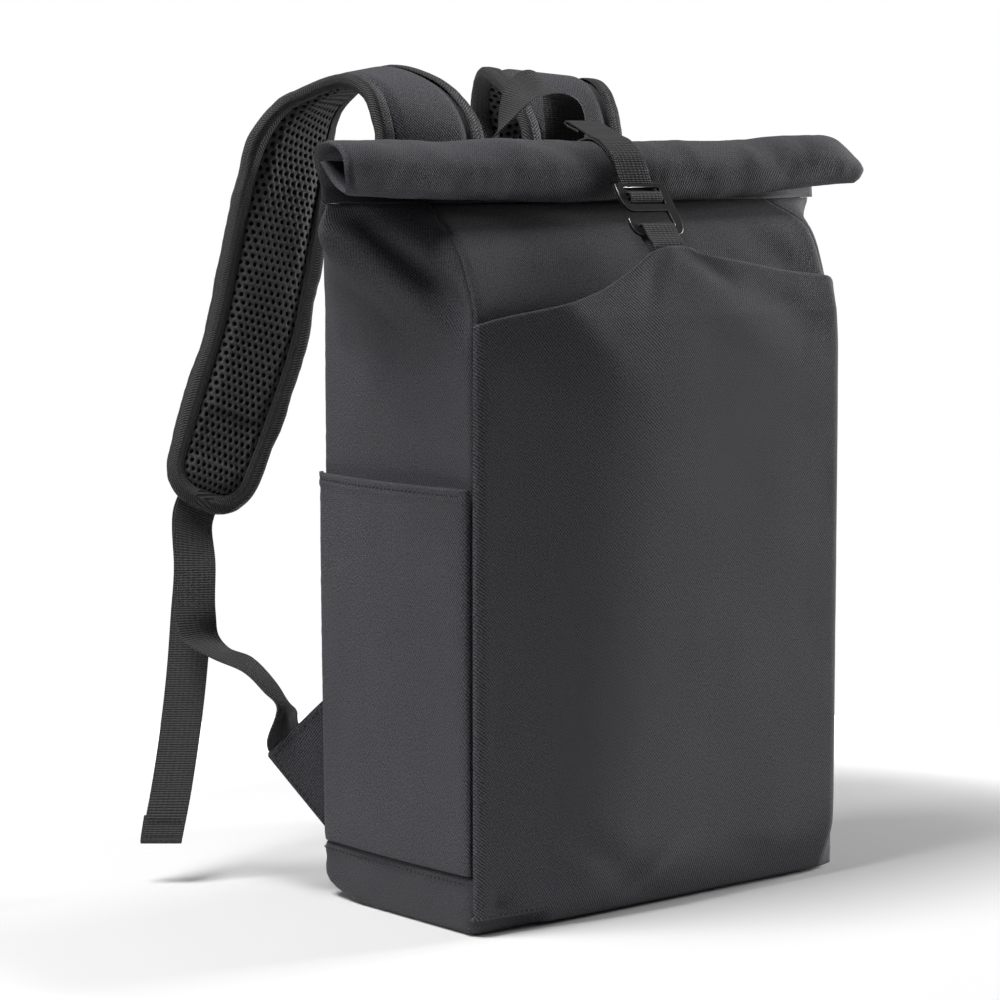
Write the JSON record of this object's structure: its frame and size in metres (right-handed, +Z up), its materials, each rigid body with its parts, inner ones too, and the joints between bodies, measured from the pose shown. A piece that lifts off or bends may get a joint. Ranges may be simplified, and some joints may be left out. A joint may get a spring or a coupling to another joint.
{
  "type": "laptop backpack",
  "caption": "Roll-top laptop backpack standing on its base, collar rolled shut under a webbing strap and metal hook, with padded shoulder straps.",
  "frame": {"origin": "centre of the base's flat face, where the bag rests on a floor", "axes": "+Z up, towards the rolled collar; +Y towards the wearer's back, where the shoulder straps are; -Y the front pocket; +X to the right seen from the front"},
  "size_m": [0.427, 0.2534, 0.4974],
  "materials": {
    "body_canvas": "matt coated polyester canvas with a fine diagonal twill",
    "pocket_canvas": "the same canvas on the pockets",
    "base_canvas": "doubled canvas of the base",
    "air_mesh": "open spacer mesh over foam",
    "strap_tape": "ribbed binding tape",
    "webbing": "ribbed polyester webbing",
    "hook_metal": "black painted zinc, worn to bright metal at its edges",
    "lock_plastic": "black acetal"
  },
  "bodies": {
    "root": {"front_panel": "body_canvas", "back_panel": "air_mesh", "side_panel_left": "body_canvas", "side_panel_right": "body_canvas", "base_panel": "base_canvas", "roll_collar": "body_canvas", "front_pocket": "pocket_canvas", "side_pocket_left": "pocket_canvas", "side_pocket_right": "pocket_canvas", "closure_strap": "webbing", "g_hook": "hook_metal", "hook_loop": "webbing", "haul_handle": "webbing", "strap_yoke": "body_canvas", "strap_pad_left": "air_mesh", "strap_pad_right": "air_mesh", "strap_binding_left": "strap_tape", "strap_binding_right": "strap_tape", "ladder_lock_left": "lock_plastic", "ladder_lock_right": "lock_plastic", "buckle_loop_left": "webbing", "buckle_loop_right": "webbing", "adjuster_webbing_left": "webbing", "adjuster_webbing_right": "webbing", "anchor_tab_left": "body_canvas", "anchor_tab_right": "body_canvas"}
  },
  "joints": []
}
